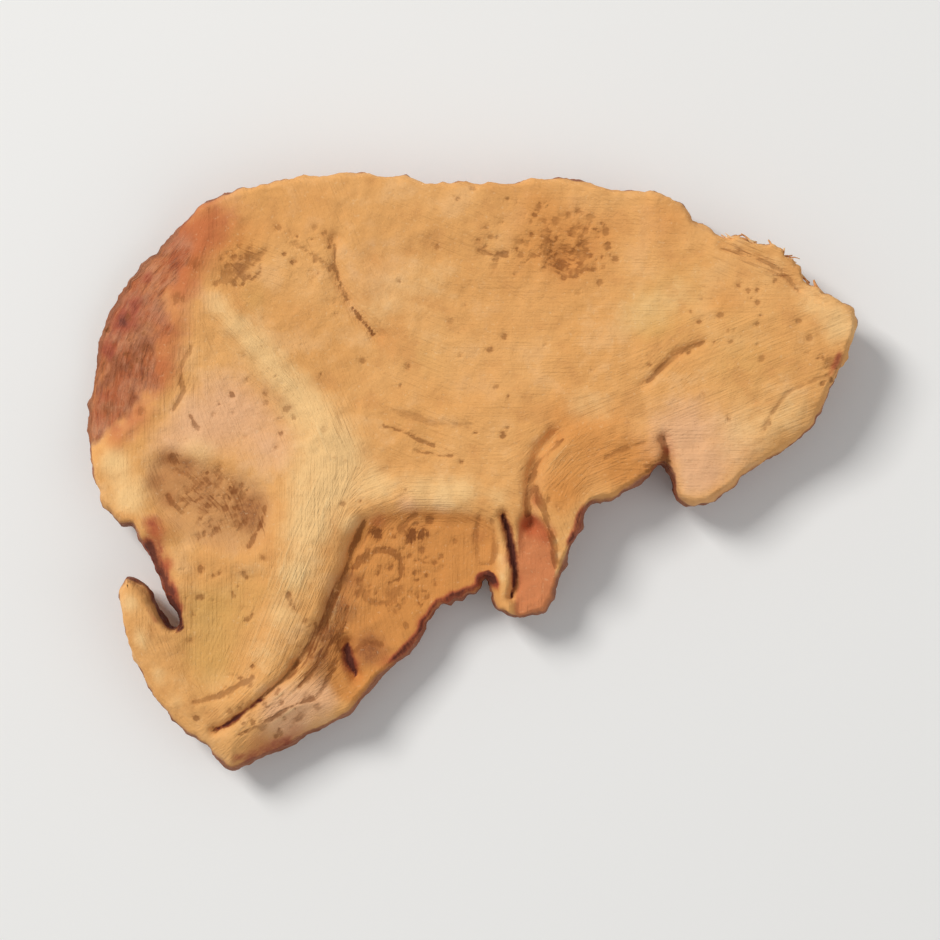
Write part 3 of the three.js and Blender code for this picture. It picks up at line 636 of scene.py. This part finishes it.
SPOTTED = [  # x, y, radius of the places that are peppered with small vessel ends, and how many
    (-20.6, -3.2, 3.0, 110), (8.6, 17.8, 2.9, 100), (4.6, 18.6, 3.6, 40), (8.0, 16.6, 1.2, 30),
    (-18.4, 16.2, 1.7, 60), (-11.8, -14.6, 2.2, 40), (-5.5, -8.5, 3.5, 80),
    (-20.5, -10.5, 3.5, 14), (-28.0, 9.5, 3.0, 30), (-17.5, -18.4, 2.6, 16), (0.0, 8.0, 16.0, 44),
    (22.0, 10.0, 7.0, 16), (-15.4, -20.6, 3, 26), (-17, 5, 4, 14), (-13, 17, 2.4, 20),
    (20.5, 12, 3, 12), (28.8, 7.8, 1.4, 10),
]
PLUM_SPOTS = [  # x, y, radius and strength where the skin is purple to nearly black
    (-28.3, 11.6, 1.3, 0.6), (-27.4, 13.0, 1.2, 0.5), (-29.6, 9.4, 1.0, 0.5),
    (-26.4, 15.4, 0.7, 0.5), (-29.9, 5.6, 1.0, 0.35), (-25.7, -4.8, 1.0, 0.5),
    (-28.8, 3.0, 0.8, 0.3), (-25.3, -7.0, 1.2, 0.5), (-24.4, -9.6, 1.0, 0.45),
    (-9.7, -16.2, 0.9, 0.5), (3.7, -9.2, 0.7, 0.4),
]
# Along the notch, the lower rims of the right bud and of the small lobe, and the split of the
# small lobe, the dark edges are painted shadow as well as purple skin; the other edges are the
# skin's own colour.
PLUM_AND_SHADOW_EDGES = [  # half width, strength and the points of each dark edge
    (1.0, 0.95, [(-27.0, -5.6), (-26.1, -7.2), (-25.2, -9.1), (-24.4, -11.2), (-23.7, -12.8)]),
    (0.4, 0.75, [(-6.8, -16.8), (-5.5, -15.7), (-4.1, -14.2), (-3.2, -12.7), (-2.1, -11.5),
                 (-0.6, -10.8), (0.7, -10.2), (1.4, -9.5), (1.8, -10.8)]),
    (0.45, 0.75, [(8.0, -7.3), (8.8, -5.9), (9.3, -4.4), (10.1, -3.0)]),
    (0.8, 0.45, [(-20.0, -24.2), (-17.6, -23.8), (-15.8, -23.0), (-13.8, -21.9)]),
    (0.45, 0.55, [(30.4, 9.6), (29.7, 8.0), (29.1, 6.4)]),
    (0.3, 0.7, [(15.9, 0.1), (16.0, 1.0), (15.6, 2.0)]),
]
HATCHED = [  # x, y, radius and strength of the places lined with dark fine fibres
    (-9.6, -8.4, 0.9, 0.7), (-10.6, -10.6, 1.0, 0.9), (-11.4, -12.8, 1.2, 1),
    (-12.4, -15, 1.3, 1), (-13.6, -17, 1.3, 0.8), (-10.9, -14.6, 0.9, 0.8), (-17.2, -5, 1.0, 0.8),
    (-18.2, -2.8, 1.2, 0.5), (-22.8, -2.0, 1.6, 0.6), (-20.6, -3.6, 1.7, 0.6),
    (-18.4, 16.2, 1.6, 0.6), (22, 17.2, 1.8, 0.6), (25.4, 15.4, 1.6, 0.6),
    (-15.6, -20.6, 2.2, 0.25), (-19.6, -21.6, 1.0, 0.4), (-13, -13.5, 1.6, 0.3),
    (5.4, -2.4, 0.8, 0.6), (6.4, -5.6, 0.7, 0.6), (0.6, -6.4, 1.0, 0.4), (-8.6, -5.6, 1.0, 0.5),
    (10.5, 1.6, 2.0, 0.3), (-23.2, 6.6, 1.0, 0.4), (-21.6, -18.4, 1.2, 0.4),
    (26.6, 6.2, 1.4, 0.3), (-12.8, 17.4, 1.2, 0.3),
]


def layer(name, values):
    """Store one value for each point of the slice, for its material to read."""
    stored = flat.attributes.new(name, "FLOAT", "POINT")
    stored.data.foreach_set("value", values.astype(np.float32))


# The underside is the next section through the root: the same tissues, a little displaced.
deep = np.where(on_bottom, 1.0, np.where(on_wall, 1 - up, 0.0))
ASIDE = 2.4
sx = x + ASIDE * deep * mottle(x, y, 9, 61)
sy = y + ASIDE * deep * mottle(x, y, 9, 62)
for name, patches in ZONES.items():
    layer(name, patched(patches, sx, sy))
layer("grainy", combing)
# The purple of the skin, together with the painted shadow of the dark edges.
plum_and_shadow = patched(PLUM_SPOTS, x, y)
for half, strength, path in PLUM_AND_SHADOW_EDGES:
    gap, run_along = nearest(curve(path), x, y)[:2]
    ends = smooth(np.minimum(run_along, run_along.max() - run_along) / 1.2)
    plum_and_shadow = np.maximum(plum_and_shadow, strength * ends * hump(gap, half))
layer("plum_and_shadow", plum_and_shadow * (0.3 + 0.7 * smooth(1 - deep * 4)))
layer("hatched", patched(HATCHED, sx, sy))
layer("bud", in_field("right bud", sx, sy, 1.6) * (1 - 0.4 * on_bottom))
layer("flap", in_field("skin flap", sx, sy, 0.9) * (1 - 0.8 * deep))
layer("hollow", in_field("left bud", sx, sy, 2.2))
layer("along", along)
layer("joined", smooth(np.minimum(along, rim_run[-1] - along) / 2.5))  # 0 where the rim begins
layer("climb", np.where(on_top, THICKNESS + away, THICKNESS * up))

# Brown lines, dots and specks. Each has a ragged shape, and a tone that says how dark it is.
mark, tone = np.zeros(count), np.zeros(count)
ragged = 0.14 * mottle(x, y, 0.5, 21)
broken = 0.22 * mottle(x, y, 1.0, 23, 2)
faded = np.clip(1 + 0.9 * mottle(x, y, 1.1, 22), 0.15, 1)


def drawn(away, half, strength):
    """Lay a mark over the others: its shape fades evenly from its middle outwards."""
    shape = np.clip(1 - (away + ragged) / (half * 2.6), 0, 1)
    tone[:] = np.where(shape > mark, strength, tone)
    mark[:] = np.maximum(mark, shape)


for half, strength, path in STROKES:
    gap = nearest(curve(path), sx, sy)[0] + broken * min(1, 3 * half)
    drawn(gap, half * 0.75, 1.2 * strength * faded * (1 - 0.6 * deep))
for a, b, radius, strength in FLECKS:
    drawn(np.hypot(sx - a, sy - b), radius * 0.8, strength)
chance = np.random.default_rng(31)
for a, b, radius, number in SPOTTED:
    for _ in range(number):
        angle, far = chance.uniform(0, 2 * math.pi), radius * math.sqrt(chance.random())
        spot = np.hypot(sx - a - far * math.cos(angle), sy - b - far * math.sin(angle))
        drawn(spot, chance.uniform(0.09, 0.2), chance.uniform(0.15, 0.65))
upper_rim = np.where(on_wall, smooth((up - 0.7) / 0.3), 1)
layer("mark", mark * upper_rim * (1 - 0.25 * on_bottom))
layer("tone", tone)
layer("side", np.where(on_wall, np.sin(np.pi * up) ** 0.5, 0))
# How strong the painted shade of each opening is, widest towards its middle.
cleft_shade = np.zeros(count)
for half, path in SHADED_CLEFTS:
    gap, run_along = nearest(curve(path), x, y)[:2]
    part = run_along / run_along.max()
    width = half * (0.45 + 0.75 * np.sin(np.pi * part**0.7))
    cleft_shade = np.maximum(cleft_shade, hump(np.maximum(0, gap + ragged), width))
layer("cleft_shade", cleft_shade * smooth(1 - 1.5 * deep))

# The skin shows from the side all round. From above it shows on its sloping bands, strongly on
# the left one, and elsewhere the flesh comes nearly to the edge.
BARE = [  # x, y and reach of the places where the skin is worn off the rim
    (5, 23, 9), (-6, 23.6, 8), (15, 22, 5), (21, 19, 5), (27, 15, 5), (31, 11, 4), (29.5, 6.5, 3),
    (-15, 23, 4), (19, -3, 3), (-27.5, -14, 4), (-29.5, -2.5, 3), (25, 1, 3),
]
bare = np.clip(sum(hump(np.hypot(x - a, y - b), reach) for a, b, reach in BARE), 0, 1)
start = 0.95 - 0.2 * bare + 0.1 * round_rim(1.5, 40) + 0.14 * round_rim(4.5, 41) + 0.4 * wide
wall_skin = smooth((start - up) / 0.3 + 0.3)
ruddy = 0.22 + 0.78 * smooth((-20 - x) / 3) * smooth((y - 0.5) / 2)
brink = hump(away, 0.9) * smooth((x + 32) / 10) * (band > 2.4) * 0.6
below = 0.9 * hump(away, 0.3)
on_face = np.where(on_top, np.maximum(skin_here * ruddy, brink * wide), below)
layer("skin", np.where(on_wall, wall_skin, on_face))
layer("wrinkle", skin_relief)
layer("fibre", fibre)
layer("strand", strand)

# The run of the fibres reaches the material as a share of each of a few set directions.
DIRECTIONS = 8
doubled = sampled(run.real**2 - run.imag**2, px, py)
doubled = doubled + 1j * sampled(2 * run.real * run.imag, px, py)
lean = np.angle(doubled) / 2
for step in range(DIRECTIONS):
    apart = lean - step * math.pi / DIRECTIONS
    layer(f"grain_{step}", np.clip(np.cos(4 * apart), 0, 1) * (np.cos(apart) ** 2 > 0.5))


class Wire:
    """A value, colour or vector on its way through a material."""

    tree = None

    def __init__(self, socket):
        self.socket = socket

    @classmethod
    def node(cls, kind, settings, inputs, output=0):
        made = cls.tree.nodes.new(kind)
        for name, value in settings.items():
            setattr(made, name, value)
        for name, value in inputs.items():
            if isinstance(value, Wire):
                cls.tree.links.new(value.socket, made.inputs[name])
            else:
                made.inputs[name].default_value = value
        return cls(made.outputs[output])

    @staticmethod
    def maths(operation, a, b):
        return Wire.node("ShaderNodeMath", {"operation": operation}, {0: a, 1: b})

    def __add__(self, other):
        return self.maths("ADD", self, other)

    def __sub__(self, other):
        return self.maths("SUBTRACT", self, other)

    def __rsub__(self, other):
        return self.maths("SUBTRACT", other, self)

    def __mul__(self, other):
        return self.maths("MULTIPLY", self, other)

    __radd__, __rmul__ = __add__, __mul__


def colour(code):
    """A colour as it looks on a screen, in the light units of the shader."""
    parts = [int(code[i : i + 2], 16) / 255 for i in (1, 3, 5)]
    return (*(c / 12.92 if c <= 0.04045 else ((c + 0.055) / 1.055) ** 2.4 for c in parts), 1)


def mixed(share, a, b):
    """One colour passing into another as the share goes from 0 to 1."""
    return Wire.node(
        "ShaderNodeMix",
        {"data_type": "RGBA", "clamp_factor": True},
        {0: share, 6: a, 7: b},
        output=2,
    )


def rising(value, start, end):
    """From 0 to 1 as the value goes from start to end."""
    return Wire.node(
        "ShaderNodeMapRange",
        {"interpolation_type": "SMOOTHSTEP"},
        {"Value": value, "From Min": start, "From Max": end},
    )


def laid_over(under, mask, start, end, share, code):
    """What is under, with a colour over it where the mask rises from start to end."""
    return mixed(rising(mask, start, end) * share, under, colour(code))


def painted(name):
    """The value that a layer stored on the slice."""
    return Wire.node("ShaderNodeAttribute", {"attribute_name": name}, {}, output=2)


root_stuff = bpy.data.materials.new("dried_galangal")
root_stuff.use_nodes = True
Wire.tree = root_stuff.node_tree
place = Wire.node("ShaderNodeTexCoord", {}, {}, output=3)


def noise(where, detail, rough):
    return Wire.node(
        "ShaderNodeTexNoise",
        {},
        {"Vector": where, "Scale": 1.0, "Detail": detail, "Roughness": rough},
    )


def speckle(size, detail=3.0, rough=0.55, turn=0.0):
    """Soft noise, 0 to 1, with patches of the given width, length and height in millimetres."""
    size = [n * MM for n in size]
    where = Wire.node(
        "ShaderNodeMapping",
        {"vector_type": "TEXTURE"},
        {"Vector": place, "Rotation": (0, 0, turn), "Scale": size},
    )
    return noise(where, detail, rough)


def along_grain(length, width):
    """Noise drawn out along the run of the fibres, about -0.5 to 0.5."""
    total = 0.0
    for step in range(DIRECTIONS):
        streak = speckle((length, width, 1.2), 3.0, 0.6, step * math.pi / DIRECTIONS)
        total = (streak - 0.5) * painted(f"grain_{step}") + total
    return total


broad = speckle((6, 6, 6), 2)
middling = speckle((1.5, 1.5, 1.5), 5, 0.6)
patchy = speckle((3.0, 3.0, 3.0), 4, 0.6)
pores = speckle((0.3, 0.3, 0.3), 3, 0.65)
hairs = along_grain(3.6, 0.2)
streaks = hairs * painted("grainy")
fray = (middling - 0.5) * 0.9 + streaks * 0.5  # what makes the edges of the zones uneven

flesh = mixed(rising(broad, 0.35, 0.65), colour("#e3a561"), colour("#e9ad6a"))
flesh = laid_over(flesh, patchy, 0.5, 0.66, 0.5, "#eeb97e")
flesh = laid_over(flesh, 1 - patchy, 0.52, 0.68, 0.5, "#d59658")
for name, tint, most in (
    ("ochre", "#d88e47", 0.85), ("olive", "#d6a55c", 0.75), ("peach", "#ecb78c", 0.8),
    ("pale", "#f6ca8c", 0.9), ("hollow", "#d39c66", 0.6), ("bud", "#d38c48", 0.9),
    ("flap", "#cf7d50", 0.9), ("rust", "#bd6239", 0.85), ("brown", "#a76a3d", 0.75),
):
    flesh = laid_over(flesh, painted(name) + fray * 0.55, 0.1, 0.85, most, tint)
show = painted("grainy")
lighter = painted("fibre") * show * 0.3 + streaks * 1.6
flesh = laid_over(flesh, lighter, 0.08, 0.5, 0.55, "#f6d298")
darker = painted("strand") * show * -0.4 - streaks * 0.8
flesh = laid_over(flesh, darker, 0.1, 0.6, 0.45, "#c0803f")
hatched = painted("hatched")
flesh = laid_over(flesh, hatched * 0.16 - hairs, 0.12, 0.24, hatched, "#8a5029")
browned = painted("brown") * (1 - pores) + (middling - 0.5) * 0.3
flesh = laid_over(flesh, browned, 0.3, 0.5, 0.5, "#7e4827")
flesh = laid_over(flesh, pores, 0.6, 0.75, 0.3, "#b87a45")
flesh = laid_over(flesh, 1 - pores, 0.6, 0.72, 0.25, "#f5d3a4")

# The bark is furrowed along the rim, and its noise fades out where the rim begins again.
round_way = Wire.node(
    "ShaderNodeCombineXYZ",
    {},
    {"X": painted("along") * 0.45, "Y": painted("climb") * 2.4, "Z": 0.0},
)
furrow = (noise(round_way, 4.0, 0.6) - 0.5) * painted("joined") + 0.5
bark = mixed(rising(patchy, 0.42, 0.6), colour("#b05c33"), colour("#c67a48"))
# The bark is painted lighter on the ridges of the furrows and darker in their hollows: painted
# highlight and painted shade that follow the relief.
bark = laid_over(bark, furrow, 0.5, 0.66, 0.45, "#cf8d66")
bark = laid_over(bark, 1 - furrow, 0.52, 0.66, 0.6, "#733a22")
bark = laid_over(bark, middling + hairs * 0.5, 0.5, 0.66, 0.35, "#c9825a")
bark = laid_over(bark, broad + (middling - 0.5) * 0.6, 0.52, 0.64, 0.7, "#904c2c")
# Lighter on the crests of the skin's wrinkles and darker between them: painted highlight and
# painted shade that follow the relief.
bark = laid_over(bark, painted("wrinkle") + (pores - 0.5) * 0.15, 0.05, 0.22, 0.45, "#d19672")
bark = laid_over(bark, painted("wrinkle") * -1.0 + (pores - 0.5) * 0.1, 0.0, 0.14, 0.6, "#6f3622")
bark = laid_over(bark, pores, 0.55, 0.7, 0.3, "#7a402b")
bark = laid_over(bark, hairs * painted("skin"), 0.1, 0.2, 0.3, "#dc9a68")
bark = mixed(painted("side") * (0.3 + patchy * 0.5), bark, colour("#8a4a30"))
skin = rising(painted("skin") + fray * 0.9, 0.15, 1.0)
look = mixed(skin, flesh, bark)
# Purple skin and painted shadow along the dark edges, from red-brown to nearly black.
dark = painted("plum_and_shadow") * (1.0 + (middling - 0.5) * 1.8 - hairs * 0.8)
look = laid_over(look, dark, 0.1, 0.6, 0.8, "#a84c34")
look = laid_over(look, dark, 0.45, 0.9, 0.85, "#5a2a22")
stain = painted("mark") * (0.6 + pores * 0.8 - hairs * 1.8)
look = laid_over(look, stain, 0.1, 0.7, painted("tone") * 0.5, "#b2682a")
look = laid_over(look, stain, 0.42, 0.68, painted("tone") * 0.8, "#6f3a15")
# Painted shade in the cracks and pits: red-brown towards their edges, nearly black in their
# middles.
opening_shade = painted("cleft_shade") + (pores - 0.5) * 0.4
look = laid_over(look, opening_shade, 0.1, 0.5, 0.75, "#8a3f27")
look = mixed(rising(opening_shade, 0.45, 0.8), look, colour("#5a2b20"))

height = pores * 0.35 + hairs * 0.4 + streaks * 1.1 + middling * 0.6 - painted("mark") * 0.5
height = height + (furrow - 0.5) * skin * 4.5
bump = Wire.node("ShaderNodeBump", {}, {"Strength": 0.7, "Distance": 0.28 * MM, "Height": height})
shader = root_stuff.node_tree.nodes["Principled BSDF"]
for socket, wire in (
    ("Base Color", look),
    ("Roughness", 0.86 - skin * 0.26 + (pores - 0.5) * 0.2),
    ("Normal", bump),
):
    root_stuff.node_tree.links.new(wire.socket, shader.inputs[socket])
shader.inputs["Specular IOR Level"].default_value = 0.25
flat.materials.append(root_stuff)

thread = bpy.data.materials.new("torn_fibre")
thread.use_nodes = True
Wire.tree = thread.node_tree
place = Wire.node("ShaderNodeTexCoord", {}, {}, output=3)
tinge = speckle((1.2, 1.2, 1.2), 2)
tint = mixed(rising(tinge, 0.38, 0.6), colour("#d08f55"), colour("#efc994"))
tint = laid_over(tint, speckle((0.4, 0.4, 0.4), 2), 0.5, 0.7, 0.4, "#b87a48")
shader = thread.node_tree.nodes["Principled BSDF"]
thread.node_tree.links.new(tint.socket, shader.inputs["Base Color"])
shader.inputs["Roughness"].default_value = 0.8
shader.inputs["Specular IOR Level"].default_value = 0.25
loose.materials.append(thread)

# THE FLOOR, THE LIGHT AND THE CAMERA
# The slice lies on a plain pale floor in soft studio light, seen from straight above.
bpy.ops.mesh.primitive_plane_add(size=4)
ground = bpy.context.object
ground.name = "studio_floor"
ground.location.z = -0.03 * MM  # just clear of the flat spots that the slice rests on
paper = bpy.data.materials.new("studio_paper")
paper.use_nodes = True
shader = paper.node_tree.nodes["Principled BSDF"]
shader.inputs["Base Color"].default_value = (0.86, 0.86, 0.85, 1)
shader.inputs["Roughness"].default_value = 0.9
ground.data.materials.append(paper)


def lamp(name, place, size, watts, tint):
    """A square soft light that points at the slice."""
    light = bpy.data.lights.new(name, "AREA")
    light.size, light.energy, light.color = size, watts, tint
    holder = bpy.data.objects.new(name, light)
    holder.location = place
    holder.rotation_euler = (-Vector(place)).to_track_quat("-Z", "Y").to_euler()
    bpy.context.scene.collection.objects.link(holder)


lamp("key_light", (-0.5, 0.45, 0.65), 0.3, 6.4, (1.0, 0.985, 0.96))
lamp("fill_light", (0.6, -0.3, 0.6), 0.8, 1.2, (0.98, 0.985, 1.0))

world = bpy.data.worlds.new("studio_world")
world.use_nodes = True
sky = world.node_tree.nodes["Background"]
sky.inputs["Color"].default_value = (1, 1, 1, 1)
sky.inputs["Strength"].default_value = 0.36
bpy.context.scene.world = world
bpy.context.scene.view_settings.view_transform = "Standard"

lens = bpy.data.cameras.new("photo_camera")
lens.lens = 100
lens.sensor_width = 36
lens.clip_start = 0.01
camera = bpy.data.objects.new("photo_camera", lens)
SHOWN = 0.078  # metres of the floor across the picture
camera.location = (0, 0, SHOWN / 2 / math.tan(lens.angle / 2))
bpy.context.scene.collection.objects.link(camera)
bpy.context.scene.camera = camera
